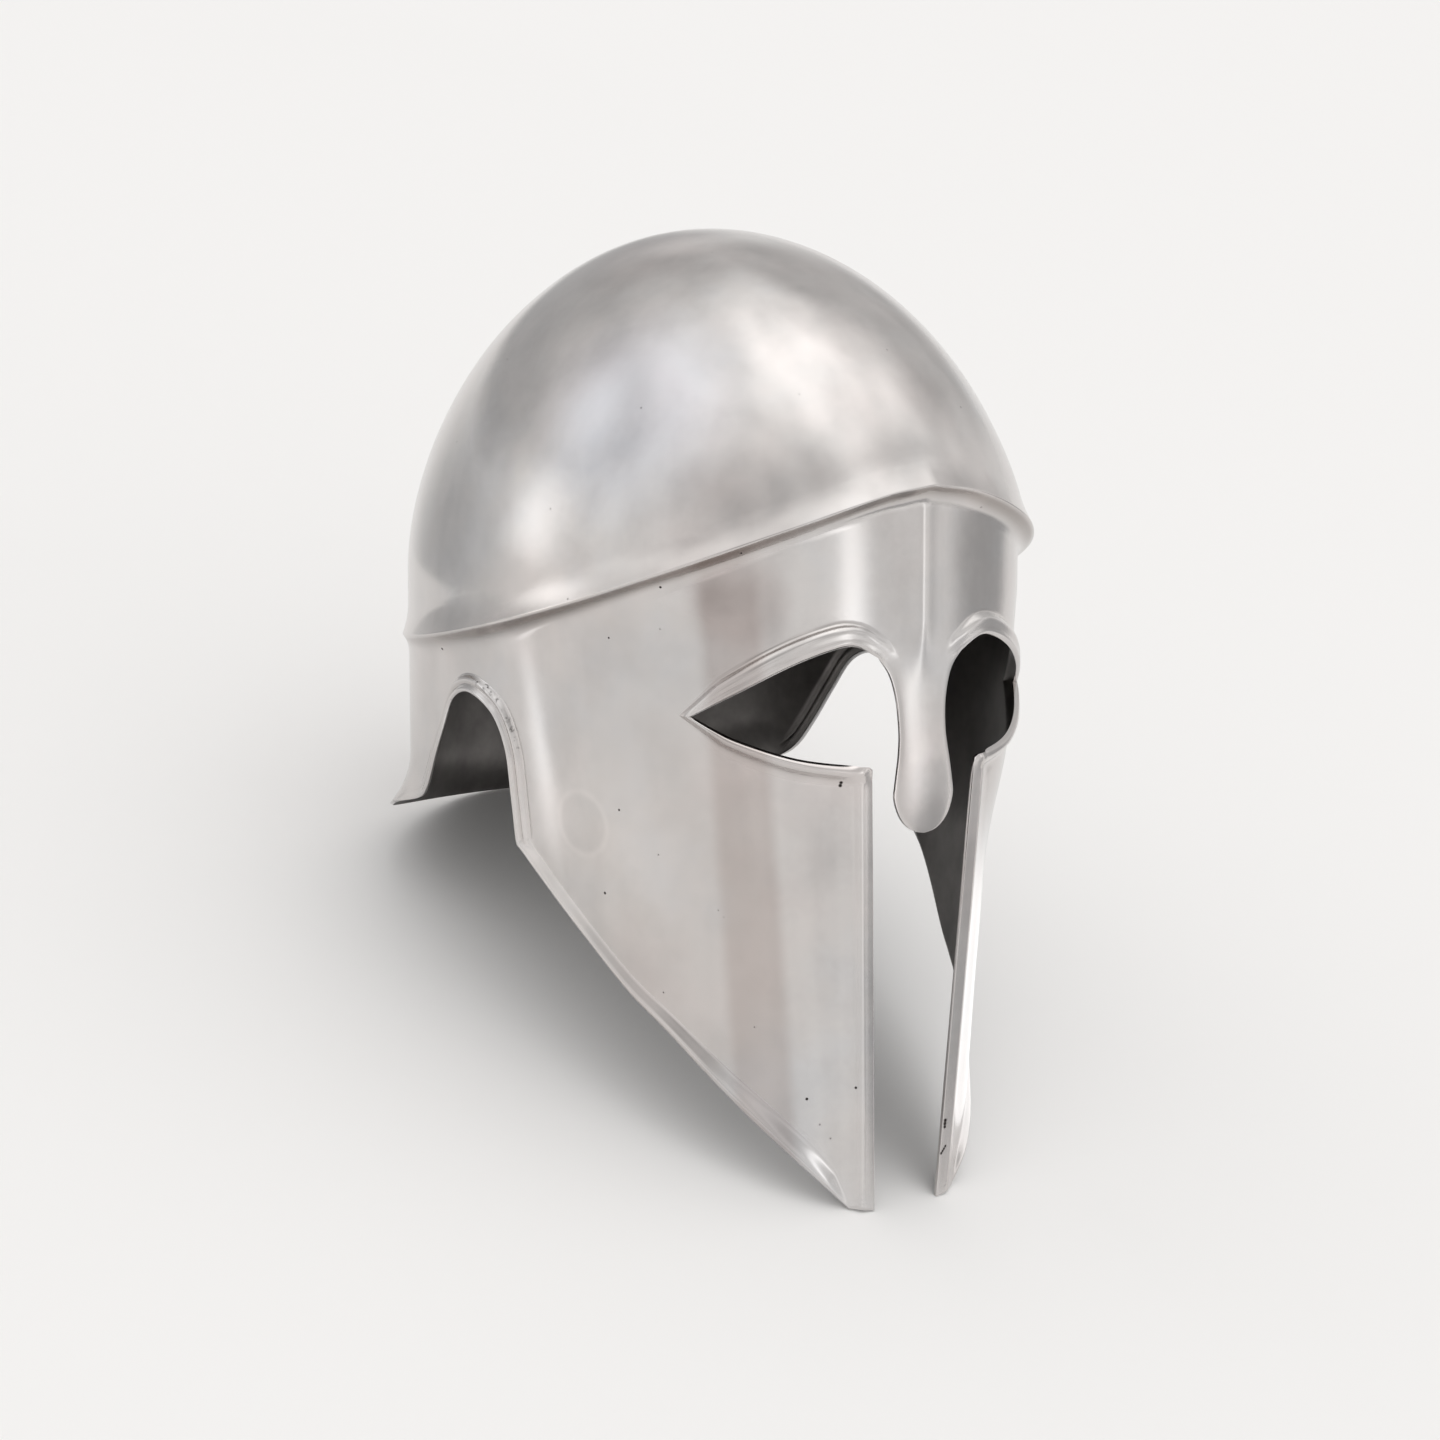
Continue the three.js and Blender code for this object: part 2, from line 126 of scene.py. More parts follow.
# %% Curve through a few rows
def curve_through(rows):
    """A smooth function through rows of (place, value); it is level after the last row."""
    slopes = []
    for index in range(len(rows)):
        before = rows[max(0, index - 1)]
        after = rows[min(len(rows) - 1, index + 1)]
        slopes.append((after[1] - before[1]) / (after[0] - before[0]))
    slopes[-1] = 0

    def value_at(place):
        index = len(rows) - 2
        while index > 0 and rows[index][0] > place:
            index -= 1
        (low, start), (high, end) = rows[index], rows[index + 1]
        t = between(place, low, high)
        lead = slopes[index] * (high - low) * t * (1 - t) ** 2
        tail = slopes[index + 1] * (high - low) * t * t * (t - 1)
        return start + (end - start) * t * t * (3 - 2 * t) + lead + tail

    return value_at


# Brow ridge: degrees from the front, the height of the crest and how far it stands out
BROW_RIDGE = (
    (0, 239, 2.4), (10, 236, 2.2), (25, 226.8, 2), (45, 213, 2.2), (65, 200.8, 2.4),
    (90, 190, 2.6), (120, 181.5, 2.5), (150, 178, 1.9), (180, 177, 1.5),
)
ridge_height = curve_through([(angle, height) for angle, height, reach in BROW_RIDGE])
ridge_reach = curve_through([(angle, reach) for angle, height, reach in BROW_RIDGE])
print("crest at the temple:", round(ridge_height(90), 1), "mm up")

# %% Radius of the crown and of the face
CROWN_TOP = 320
CROWN_EQUATOR = 202
CROWN_HALF_WIDTH = 95
CROWN_FRONT = 122.5
CROWN_BACK = 117.5
FACE_HALF_WIDTH = 92
FACE_FRONT = 112
FACE_BACK = 117
SIDE_LEAN = 0.127
FRONT_LEAN = 0.043
ROLL_RADIUS = 104
# Keel of the forehead: its reach to each side and its height
KEEL_SHAPE = ((24, 0.8), (6, 0.5))
KEEL_ROUNDING = 2
NASAL_REACH = 6.9


def crown_radius(degrees, height):
    depth = CROWN_FRONT if degrees < 90 else CROWN_BACK
    rise = between(height, CROWN_EQUATOR, CROWN_TOP)
    plan = oval_radius(math.radians(degrees), CROWN_HALF_WIDTH, depth, 2.15)
    return plan * math.sqrt(1 - rise ** 1.77)


def crest_radius(degrees):
    return crown_radius(degrees, ridge_height(degrees)) + ridge_reach(degrees)


def face_radius(degrees, height):
    lean = 1 - soft_step(degrees, 100, 140)
    half_width = FACE_HALF_WIDTH - SIDE_LEAN * max(0, 200 - height) * lean
    depth = FACE_BACK
    if degrees < 90:
        depth = FACE_FRONT - 1.4 * soft_step(height, 150, 190) - FRONT_LEAN * max(0, 150 - height)
    radius = oval_radius(math.radians(degrees), half_width, depth, 2.3)
    # The keel is a soft line on the forehead and fades out above the nasal
    aside = math.hypot(ROLL_RADIUS * math.radians(degrees), KEEL_ROUNDING) - KEEL_ROUNDING
    keel = sum(rise * between(aside, reach, 0) ** 2 for reach, rise in KEEL_SHAPE)
    keel *= soft_step(height, 172, 196)
    forward = 1.8 * soft_step(-height, -168, -130) if degrees < NASAL_REACH else 0
    return radius + keel + forward


print("brow overhang at the front:", round(crest_radius(0) - face_radius(0, ridge_height(0)), 1), "mm")

# %% [markdown]
# ## The flat pattern
# The face piece is drawn as one half of a flat pattern, from the front centre line to the back.
# Across, a point's place is its angle rolled out at one radius, and up is its height. Each
# border is a smooth line through a few points. Blender's interpolate_bezier draws such a
# line, and the points are then spread evenly along it.

# %% Smooth border lines
EDGE_STEP = 1.7


def on_pattern(degrees, height):
    return Vector((ROLL_RADIUS * math.radians(degrees), height, 0))


def degrees_of(point):
    return math.degrees(point.x / ROLL_RADIUS)


def spread_evenly(points, step):
    gaps = [(b - a).length for a, b in zip(points, points[1:])]
    count = max(1, round(sum(gaps) / step))
    spread = [points[0]]
    walked = 0
    index = 0
    for number in range(1, count):
        goal = sum(gaps) * number / count
        while walked + gaps[index] < goal:
            walked += gaps[index]
            index += 1
        spread.append(points[index].lerp(points[index + 1], (goal - walked) / gaps[index]))
    return spread + [points[-1]]


def border_line(rows, step=EDGE_STEP):
    knots = [on_pattern(*row) for row in rows]
    line = [knots[0]]
    for index in range(len(knots) - 1):
        before = knots[max(0, index - 1)]
        start, end = knots[index], knots[index + 1]
        after = knots[min(len(knots) - 1, index + 2)]
        lead = start + (end - before) / 6
        tail = end - (after - start) / 6
        line += interpolate_bezier(start, lead, tail, end, 24)[1:]
    return spread_evenly(line, step)


NECK_EDGE = ((131.7, 120.8), (140, 117), (152, 114), (165, 112.4), (180, 111.8))
neck_line = border_line(NECK_EDGE, 4)
print("half of the neck rim:", round(sum((b - a).length for a, b in zip(neck_line, neck_line[1:]))), "mm")

# %% [markdown]
# ## What the borders look like
# On the real helmet every border is worked. The eye has a raised band above, with a rolled edge
# and a second line outside it, and a round lip below. The ear arch has a double line, the jaw is
# turned out, and the nasal is only softened at its edge. A bevel can't give such
# sections, so each run of the outline gets a small section of its own: rows of (share of the
# border's width, lift in mm), from the cut edge inwards.

# %% Sections of the borders
PLAIN_EDGE = ((0, -0.22), (0.15, -0.07), (0.3, 0), (1, 0))
EYE_BAND = (
    (0, 1.5), (0.08, 2.5), (0.18, 2.9), (0.28, 2.65), (0.38, 2.6), (0.52, 2.75), (0.66, 2.6), (0.79, 1.9),
    (0.9, 0.7), (1, 0),
)
EYE_LIP = ((0, 1.5), (0.09, 2.6), (0.2, 3.25), (0.34, 3.35), (0.48, 2.6), (0.64, 1.3), (0.8, 0.45), (1, 0))
JAW_FLARE = ((0, 2), (0.08, 2.4), (0.22, 2.3), (0.4, 1.7), (0.58, 0.95), (0.75, 0.3), (0.87, 0), (1, 0))
EAR_DOUBLE = (
    (0, 2.6), (0.1, 3.1), (0.24, 2.9), (0.38, 1.9), (0.5, 1.5), (0.62, 1.85), (0.72, 1.75), (0.84, 0.7),
    (1, 0),
)

# Each run of the outline: its points, the border's width along it, its section, how strong the
# section is along it, and for a run that starts at a sharp corner the step inwards from that corner
OUTLINE_RUNS = (
    (
        ((0, 126), (2.6, 127.2), (4.9, 131), (6.3, 137.5), (6.1, 143), (5.3, 153), (5, 160), (5.4, 170),
         (6.8, 178.5), (9.3, 184.2)),
        (5.5, 5.5, 5.5, 5.5, 6.4), PLAIN_EDGE, (0.5, 0.5), None,
    ),
    (
        ((9.3, 184.2), (13.8, 188.2), (18.4, 187), (25, 182.3), (33, 174.5), (41.2, 166.3)),
        (6.4, 8, 8, 7.6, 6.6, 4.4), EYE_BAND, (0.3, 0.95, 1, 1, 1, 1, 1), None,
    ),
    (
        ((41.2, 166.3), (37, 162.2), (33, 158.8), (23.4, 153), (13.6, 150.1), (11.7, 149.7), (10.8, 148.6)),
        (4.4, 6, 7, 7.4, 7.4), EYE_LIP, (1, 1), (1, 0),
    ),
    (((10.8, 148.6), (7.3, 0.5)), (6.57, 6.57, 6.57, 6.57, 4), PLAIN_EDGE, (1, 1), (1, -1)),
    (((7.3, 0.5), (12.4, 2.2)), (4, 4), PLAIN_EDGE, (1, 1), (1, 1)),
    (
        ((12.4, 2.2), (27.1, 27.7), (45.3, 57.8), (56, 72), (70, 91.5), (88.8, 115.6)),
        (4, 8.2, 8.4, 7.4, 6.4, 5.8, 5.6, 5.8, 6.4), JAW_FLARE, (0, 0.8) + (1,) * 13, (0.1, 1.2),
    ),
    (
        ((88.8, 115.6), (88.8, 134.3), (89.2, 149), (93, 160), (101.3, 165.5), (108, 162),
         (113.3, 150.5), (118.5, 137.5), (122.5, 128.5), (126.5, 123.6), (131.7, 120.8)),
        (6.5, 6.5, 6.5, 6.5, 6), EAR_DOUBLE, (1, 1, 1, 1, 1, 1, 1, 0.6, 0), (-1, 0.4),
    ),
    (NECK_EDGE, (6, 6), PLAIN_EDGE, (1, 1), None),
)
print(len(OUTLINE_RUNS), "runs make the outline of the half pattern")

# %% Walk the outline
RING_SHARES = (0, 0.06, 0.13, 0.21, 0.3, 0.4, 0.5, 0.6, 0.7, 0.78, 0.86, 0.93, 1, 1.12, 1.28)


def smoothed(values, passes):
    for _ in range(passes):
        ends = [values[0]] + list(values) + [values[-1]]
        values = [(a + 2 * b + c) / 4 for a, b, c in zip(ends, ends[1:], ends[2:])]
    return values


def value_along(values, share):
    place = share * (len(values) - 1)
    index = min(len(values) - 2, int(place))
    return values[index] + (values[index + 1] - values[index]) * (place - index)


outline, widths, lifts = [], [], [[] for _ in RING_SHARES]
corners = []
for rows, run_widths, section, strengths, corner_step in OUTLINE_RUNS:
    run = border_line(rows)
    if corner_step:
        corners.append((len(outline), Vector((*corner_step, 0))))
    section_at = curve_through(section)
    for index, point in enumerate(run):
        if index == len(run) - 1 and rows is not NECK_EDGE:
            break
        outline.append(point)
        walked = index / (len(run) - 1)
        widths.append(value_along(run_widths, walked))
        for ring, share in enumerate(RING_SHARES):
            lifts[ring].append(section_at(share) * value_along(strengths, walked))
widths = smoothed(widths, 4)
lifts = [smoothed(ring_lifts, 3) for ring_lifts in lifts]
print(len(outline), "points on the outline")

# %% [markdown]
# ## Rings along the borders
# Polished steel shows every kink, so the mesh has to run along the borders and not across
# them. The outline is drawn as a chain of edges and extruded inwards ring by ring. Each new ring is
# pushed in square to the edge, and a layer on the vertices keeps how far the ring is lifted. A
# second layer marks the hollow lines, where the colour is darkened as painted shade. The brow ridge
# gets rings in the same way, with painted shade just below its crest.

# %% Extrude the rings
CORNER_REACH = 12


def inward_steps(chain, mirror_first, mirror_last):
    """For each point of an open chain, the step inwards that keeps a parallel line at distance 1."""
    flip_first = Vector((2 * chain[0].x - chain[1].x, chain[1].y, 0)) if mirror_first else chain[0]
    flip_last = Vector((2 * chain[-1].x - chain[-2].x, chain[-2].y, 0)) if mirror_last else chain[-1]
    steps = []
    for before, here, after in zip([flip_first] + chain, chain, chain[1:] + [flip_last]):
        a = (here - before).normalized()
        b = (after - here).normalized()
        miter = Vector((-a.y - b.y, a.x + b.x, 0)).normalized()
        steps.append(miter / max(0.5, miter.dot(Vector((-a.y, a.x, 0)))))
    return steps


def ease_corners(chain, steps, corners):
    """Turns the steps beside a corner towards the corner's own step, so that no ring folds over."""
    walked = [0]
    for a, b in zip(chain, chain[1:]):
        walked.append(walked[-1] + (b - a).length)
    eased = []
    for index, step in enumerate(steps):
        before = [item for item in corners if item[0] <= index][-1:]
        after = [item for item in corners if item[0] > index][:1]
        gap = walked[after[0][0]] - walked[before[0][0]] if before and after else CORNER_REACH
        reach = min(CORNER_REACH, gap)
        turned = step
        for corner, corner_step in before + after:
            weight = max(0, 1 - abs(walked[corner] - walked[index]) / reach)
            turned = turned + (corner_step - step) * weight
        eased.append(turned)
    return eased


def draw_chain(bm, points, order):
    verts = []
    for index, point in enumerate(points):
        vert = bm.verts.new(point)
        vert[order] = index
        verts.append(vert)
    return [bm.edges.new(pair) for pair in zip(verts, verts[1:])]


def extrude_ring(bm, edges):
    made = bmesh.ops.extrude_edge_only(bm, edges=edges)["geom"]
    verts = [item for item in made if isinstance(item, bmesh.types.BMVert)]
    new_edges = [item for item in made if isinstance(item, bmesh.types.BMEdge)]
    ring = [edge for edge in new_edges if all(vert in verts for vert in edge.verts)]
    return verts, ring


pattern = bmesh.new()
order = pattern.verts.layers.int.new("order")
lift = pattern.verts.layers.float.new("lift")
crest_gap = pattern.verts.layers.float.new("crest_gap")
painted_shade = pattern.verts.layers.float.new("painted_shade")
FAR_FROM_CREST = 99

border_edges = draw_chain(pattern, outline, order)
for vert in pattern.verts:
    vert[lift] = lifts[0][vert[order]]
    vert[crest_gap] = FAR_FROM_CREST
border_steps = ease_corners(outline, inward_steps(outline, True, True), corners)
for ring, share in enumerate(RING_SHARES[1:], start=1):
    ring_verts, border_edges = extrude_ring(pattern, border_edges)
    for vert in ring_verts:
        index = vert[order]
        vert.co = outline[index] + border_steps[index] * widths[index] * share
        vert[lift] = lifts[ring][index]
        if share < RING_SHARES[-1]:
            # Where the section dips into a hollow, the colour is darkened there as painted shade
            hollow = lifts[ring - 1][index] + lifts[ring + 1][index] - 2 * lifts[ring][index]
            vert[painted_shade] = 0.6 * between(hollow, 0.1, 0.7)
print(len(pattern.faces), "faces along the borders")

# %% Rings below the crest of the brow
CREST_GAPS = (0.35, 0.8, 1.4, 2.2, 3.2, 4.4, 5.8, 7.4)
crest_line = spread_evenly([on_pattern(d, ridge_height(d)) for d in range(180, -1, -1)], 1.8)
crest_line = [on_pattern(degrees_of(point), ridge_height(degrees_of(point))) for point in crest_line]

crest_edges = draw_chain(pattern, crest_line, order)
crest_steps = inward_steps(crest_line, True, True)
for gap in CREST_GAPS:
    ring_verts, crest_edges = extrude_ring(pattern, crest_edges)
    for vert in ring_verts:
        vert.co = crest_line[vert[order]] + crest_steps[vert[order]] * gap
        vert[crest_gap] = gap
        # Painted shade: the colour is darkened just below the crest of the brow
        vert[painted_shade] = soft_step(gap, 0, 0.9) - soft_step(gap, 1.2, 4.5)
print(len(pattern.faces), "faces with the brow")

# %% [markdown]
# ## Fill the open field
# What is left in the middle is one large face with hundreds of corners. It could be filled with
# long triangles, but they would not bend well when the pattern is rolled. Instead the face is made
# whole and then sliced by bisect_plane, first into strips and then into small squares, so that
# the sheet has points everywhere.

# %% Make the field and slice it
FIELD_CELL = 2.7
# Extra cuts beside the centre line, for the narrow keel
KEEL_CUTS = (0.7, 1.6, 2.3, 3.2, 4.6)


def chain_ends(edges):
    verts = [vert for edge in edges for vert in edge.verts]
    return [vert for vert in verts if verts.count(vert) == 1]


def cut_field(bm, point, normal):
    """Cuts the faces marked with material 1 along a plane."""
    faces = [face for face in bm.faces if face.material_index == 1]
    # A dict drops repeats and, unlike a set, keeps the order
    edges = dict.fromkeys(edge for face in faces for edge in face.edges)
    verts = dict.fromkeys(vert for face in faces for vert in face.verts)
    geom = faces + list(edges) + list(verts)
    bmesh.ops.bisect_plane(bm, geom=geom, dist=0.02, plane_co=point, plane_no=normal)


def slice_field(bm, cell, lows, highs):
    for axis in range(2):
        normal = Vector((axis == 0, axis == 1, 0))
        for number in range(math.ceil(lows[axis] / cell), math.floor(highs[axis] / cell) + 1):
            cut_field(bm, normal * (cell * (number + 0.37)), normal)


def fill_field(bm, *chains):
    """Joins the ends of the chains along the centre lines and makes one face of the loop."""
    ends = [vert for chain in chains for vert in chain_ends(chain)]
    joins = []
    for x_end in {round(vert.co.x, 2) for vert in ends}:
        pair = [vert for vert in ends if abs(vert.co.x - x_end) < 0.01]
        joins.append(bm.edges.new(pair))
    edges = joins + [edge for chain in chains for edge in chain]
    made = bmesh.ops.contextual_create(bm, geom=edges)["faces"]
    for face in made:
        face.material_index = 1
    return made


field = fill_field(pattern, border_edges, crest_edges)
print(len(field), "face with", len(field[0].verts), "corners")
slice_field(pattern, FIELD_CELL, (0, 0), (ROLL_RADIUS * math.pi, 240))
for aside in KEEL_CUTS:
    cut_field(pattern, Vector((aside, 0, 0)), Vector((1, 0, 0)))
pattern.normal_update()
folded = sum(face.normal.z < 0 for face in pattern.faces)
folded = min(folded, len(pattern.faces) - folded)
print(len(pattern.faces), "faces in the half pattern,", folded, "of them folded over")

# %% [markdown]
# ## Roll the pattern
# Now each point of the pattern goes to its place on the head: its angle and height give a radius,
# and the lift of its ring is added. The strip beside the face slot is bent in along a straight
# line, which leaves the narrow flange that faces forwards. The neck rim flares out.

# %% Roll the face piece
FLANGE_TOP = 150
FRONT_FLARE_WIDTH = 9
NECK_FLARE = 5
SIDE_FLARE = 3
NECK_FLARE_WIDTH = 18
RIDGE_FILLET = 6.5
BEND_ROUND = 1.2


def around(degrees, radius, height):
    angle = math.radians(degrees)
    return Vector((radius * math.sin(angle), -radius * math.cos(angle), height))


def bend_degrees(height):
    return 9.9 + (13.2 - 9.9) * height / FLANGE_TOP


def front_flare(degrees, height):
    if height > FLANGE_TOP + 1:
        return 0
    behind = ROLL_RADIUS * math.radians(abs(degrees - bend_degrees(height)))
    return (1.5 + 2 * between(height, 0, FLANGE_TOP)) * between(behind, FRONT_FLARE_WIDTH, 0) ** 2


def neck_flare(point):
    if point.x < ROLL_RADIUS * math.radians(110):
        return 0
    gap = min(
        (point - a.lerp(b, between(intersect_point_line(point, a, b)[1], 0, 1))).length
        for a, b in zip(neck_line, neck_line[1:])
    )
    wider = SIDE_FLARE * soft_step(-degrees_of(point), -165, -135)
    return (NECK_FLARE + wider) * between(gap, NECK_FLARE_WIDTH, 0) ** 2


def roll_face(point, raised):
    height = point.y
    degrees = degrees_of(point)
    bend = bend_degrees(height)
    plain = face_radius(degrees, height)
    fillet = between(ridge_height(degrees) - height, RIDGE_FILLET, 0) ** 2
    # The cube root lets one shape run softly into the other where both are raised
    flares = front_flare(degrees, height) ** 3 + neck_flare(point) ** 3
    border = (max(0, raised) ** 3 + flares) ** (1 / 3) + min(0, raised)
    cheek = around(degrees, plain + (crest_radius(degrees) - plain) * fillet + border, height)
    if height > FLANGE_TOP + 1 or degrees < NASAL_REACH:
        return cheek
    flange = around(bend, face_radius(bend, height) + front_flare(bend, height), height)
    flange += Vector((ROLL_RADIUS * math.radians(degrees - bend), -0.25 * raised, 0))
    return flange.lerp(cheek, soft_step(degrees, bend - BEND_ROUND, bend + BEND_ROUND))


for vert in pattern.verts:
    vert.co = roll_face(vert.co, vert[lift])
spans = []
for axis in range(3):
    places = [vert.co[axis] for vert in pattern.verts]
    spans.append(round(max(places) - min(places)))
print("rolled face piece spans", spans, "mm")

# %% [markdown]
# ## The crown
# The crown could be a sphere, but its rim climbs from the nape to the brow, and the rim must
# meet the face piece corner by corner. So it starts as a flat half disc whose curved edge is
# the crest. It gets rings along the crest and a sliced field, as the face piece did, and is then
# raised into the dome. The crest swells out over its last few millimetres.

# %% Flat half disc
CREST_SWELL = 11
DISC_CELL = 1.75
# One millimetre on the disc is nearly two on the dome near the crest
DISC_SCALE = 0.5

crown = bmesh.new()
crown_order = crown.verts.layers.int.new("order")
crown.verts.layers.float.new("lift")
crown_gap = crown.verts.layers.float.new("crest_gap")
crown.verts.layers.float.new("painted_shade")
rim_angles = [degrees_of(point) for point in crest_line]


def on_disc(degrees, gap):
    return around(degrees, ROLL_RADIUS - gap, 0)


disc_edges = draw_chain(crown, [on_disc(degrees, 0) for degrees in rim_angles], crown_order)
for gap in CREST_GAPS + (9.4, 12):
    ring_verts, disc_edges = extrude_ring(crown, disc_edges)
    for vert in ring_verts:
        vert.co = on_disc(rim_angles[vert[crown_order]], gap * DISC_SCALE)
        vert[crown_gap] = gap
fill_field(crown, disc_edges)
slice_field(crown, DISC_CELL, (0, -ROLL_RADIUS), (ROLL_RADIUS, ROLL_RADIUS))
print(len(crown.faces), "faces in the half crown")

# %% Raise the dome
def raise_crown(point):
    degrees = math.degrees(math.atan2(max(0, point.x), -point.y))
    share = 1 - math.hypot(point.x, point.y) / ROLL_RADIUS
    foot = ridge_height(degrees)
    height = foot + (CROWN_TOP - foot) * math.sin(between(share, 0, 1) * math.pi / 2)
    swell = ridge_reach(degrees) * between(height - foot, CREST_SWELL, 0) ** 2
    return around(degrees, crown_radius(degrees, height) + swell, height)


for vert in crown.verts:
    if vert[crown_gap] == 0 and vert.co.length < ROLL_RADIUS - 12 * DISC_SCALE:
        vert[crown_gap] = FAR_FROM_CREST
    vert.co = raise_crown(vert.co)
print("the dome reaches", round(max(v.co.z for v in crown.verts), 2), "mm")

# %% [markdown]
# ## One shell
# The two halves of the work meet at the crest, where their points coincide. They are merged into
# one sheet, mirrored to the other side, and turned so that every face looks outwards. The
# crest of a raised brow is never knife sharp, so a few passes of smooth_vert round it.

# %% Join, mirror and round the crest
CHEEK_SET = 4.5
MERGE_GAP = 0.03

crown_mesh = bpy.data.meshes.new("crown_half")
crown.to_mesh(crown_mesh)
crown.free()
pattern.from_mesh(crown_mesh)
bpy.data.meshes.remove(crown_mesh)
for vert in pattern.verts:
    if vert.co.x < 0.02 and abs(vert.co.x) < 0.5:
        vert.co.x = 0
bmesh.ops.remove_doubles(pattern, verts=pattern.verts, dist=MERGE_GAP)
right_half = pattern.verts[:] + pattern.edges[:] + pattern.faces[:]
bmesh.ops.mirror(pattern, geom=right_half, axis="X", merge_dist=MERGE_GAP)
bmesh.ops.recalc_face_normals(pattern, faces=pattern.faces)
highest = max(pattern.faces, key=lambda face: face.calc_center_median().z)
if highest.normal.z < 0:
    bmesh.ops.reverse_faces(pattern, faces=pattern.faces)
for face in pattern.faces:
    face.material_index = 0
    face.smooth = True
near_crest = [vert for vert in pattern.verts if vert[crest_gap] < 1]
for _ in range(2):
    bmesh.ops.smooth_vert(
        pattern, verts=near_crest, factor=0.5, use_axis_x=True, use_axis_y=True, use_axis_z=True
    )
# The left cheek was bent in a little behind its flange
for vert in pattern.verts:
    degrees = math.degrees(math.atan2(vert.co.x, -vert.co.y))
    bent = soft_step(degrees, 13, 32) - soft_step(degrees, 50, 80)
    bent *= CHEEK_SET * (1 - soft_step(vert.co.z, 105, 150))
    radius = math.hypot(vert.co.x, vert.co.y)
    vert.co.xy *= 1 - bent / max(radius, 1)
open_edges = sum(edge.is_boundary for edge in pattern.edges)
print(len(pattern.faces), "faces,", open_edges, "open edges,", len(near_crest), "points near the crest")

# %% [markdown]
# ## Hand work
# Sheet that was raised with a hammer and then polished is never a perfect surface: it has broad
# shallow waves that bend the reflections. A displace modifier could add them. Here noise moves every
# point along its normal by about a tenth of a millimetre.

# %% Broad shallow waves
WAVE_LENGTH = 46
WAVE_DEPTH = 0.16

pattern.normal_update()
moves = []
for vert in pattern.verts:
    broad = noise.noise(vert.co / WAVE_LENGTH)
    small = 0.4 * noise.noise(vert.co / WAVE_LENGTH * 2.3 + Vector((7, 3, 1)))
    moves.append(vert.normal * (WAVE_DEPTH * (broad + small)))
for vert, move in zip(pattern.verts, moves):
    vert.co += move
print("deepest wave:", round(max(move.length for move in moves), 2), "mm")

# %% [markdown]
# ## Sheet metal
# The sheet is 1.2 mm thick, and the outside is the measured side, so Solidify adds the wall
# inwards. A Bevel modifier then breaks only the edges that turn by more than 60 degrees, which are
# the cut edges, as a file does. The inside gets a material slot of its own.

# %% Wall and broken edges
WALL = 1.2
EDGE_BREAK = 0.42

bmesh.ops.transform(pattern, matrix=lay_down_to_metres, verts=pattern.verts)
shell_mesh = bpy.data.meshes.new("helmet_steel")
pattern.to_mesh(shell_mesh)
pattern.free()
shell = bpy.data.objects.new("helmet_steel", shell_mesh)
bpy.context.scene.collection.objects.link(shell)

wall = shell.modifiers.new("sheet_wall", "SOLIDIFY")
wall.thickness = WALL * MM
wall.offset = -1
wall.use_even_offset = False
wall.material_offset = 1
edge_break = shell.modifiers.new("broken_edges", "BEVEL")
edge_break.limit_method = "ANGLE"
edge_break.angle_limit = math.radians(60)
edge_break.width = EDGE_BREAK * MM
edge_break.segments = 3
edge_break.profile = 0.5
print(len(shell_mesh.polygons), "faces before the wall is added")

# %% [markdown]
# ## Polished steel
# The finish is bright but not a mirror: it was buffed by hand. It has a faint warm haze, cloudy
# patches that lean to blue or to rose, and small specks. A metal in Blender is a Principled
# shader with Metallic at 1. Its colour and roughness come from noise on Object coordinates, at the
# scale of the real clouds and specks.

# %% Node helpers
def add_node(tree, kind, **settings):
    node = tree.nodes.new(kind)
    for name, value in settings.items():
        setattr(node, name, value)
    return node


def set_ramp(node, stops):
    elements = node.color_ramp.elements
    while len(elements) < len(stops):
        elements.new(0.5)
    for element, (place, shade) in zip(elements, stops):
        element.position = place
        element.color = (*shade, 1) if isinstance(shade, tuple) else (shade, shade, shade, 1)


def noise_cloud(tree, coordinates, scale, detail, roughness=0.5):
    node = add_node(tree, "ShaderNodeTexNoise")
    node.inputs["Scale"].default_value = scale
    node.inputs["Detail"].default_value = detail
    node.inputs["Roughness"].default_value = roughness
    tree.links.new(coordinates, node.inputs["Vector"])
    return node.outputs["Fac"]


def ramp_of(tree, value, stops, kind="LINEAR"):
    node = add_node(tree, "ShaderNodeValToRGB")
    node.color_ramp.interpolation = kind
    set_ramp(node, stops)
    tree.links.new(value, node.inputs["Fac"])
    return node.outputs["Color"]


def blend_colours(tree, mode, factor, first, second):
    node = add_node(tree, "ShaderNodeMix", data_type="RGBA", blend_type=mode)
    for name, value in (("Factor", factor), ("A", first), ("B", second)):
        socket = next(s for s in node.inputs if s.name == name and s.enabled)
        if isinstance(value, bpy.types.NodeSocket):
            tree.links.new(value, socket)
        else:
            socket.default_value = value
    return next(s for s in node.outputs if s.enabled)


print("node helpers are ready")

# %% Marks on the steel
def math_node(tree, operation, *values):
    node = add_node(tree, "ShaderNodeMath", operation=operation)
    for socket, value in zip(node.inputs, values):
        if isinstance(value, bpy.types.NodeSocket):
            tree.links.new(value, socket)
        else:
            socket.default_value = value
    return node.outputs["Value"]


def faded(tree, value, start, end):
    """1 where the value is below start, 0 where it is above end."""
    node = add_node(tree, "ShaderNodeMapRange", interpolation_type="SMOOTHSTEP")
    tree.links.new(value, node.inputs["Value"])
    node.inputs["From Min"].default_value = end
    node.inputs["From Max"].default_value = start
    return node.outputs["Result"]


def gap_to(tree, place, centre):
    node = add_node(tree, "ShaderNodeVectorMath", operation="DISTANCE")
    tree.links.new(place, node.inputs[0])
    node.inputs[1].default_value = centre
    return node.outputs["Value"]


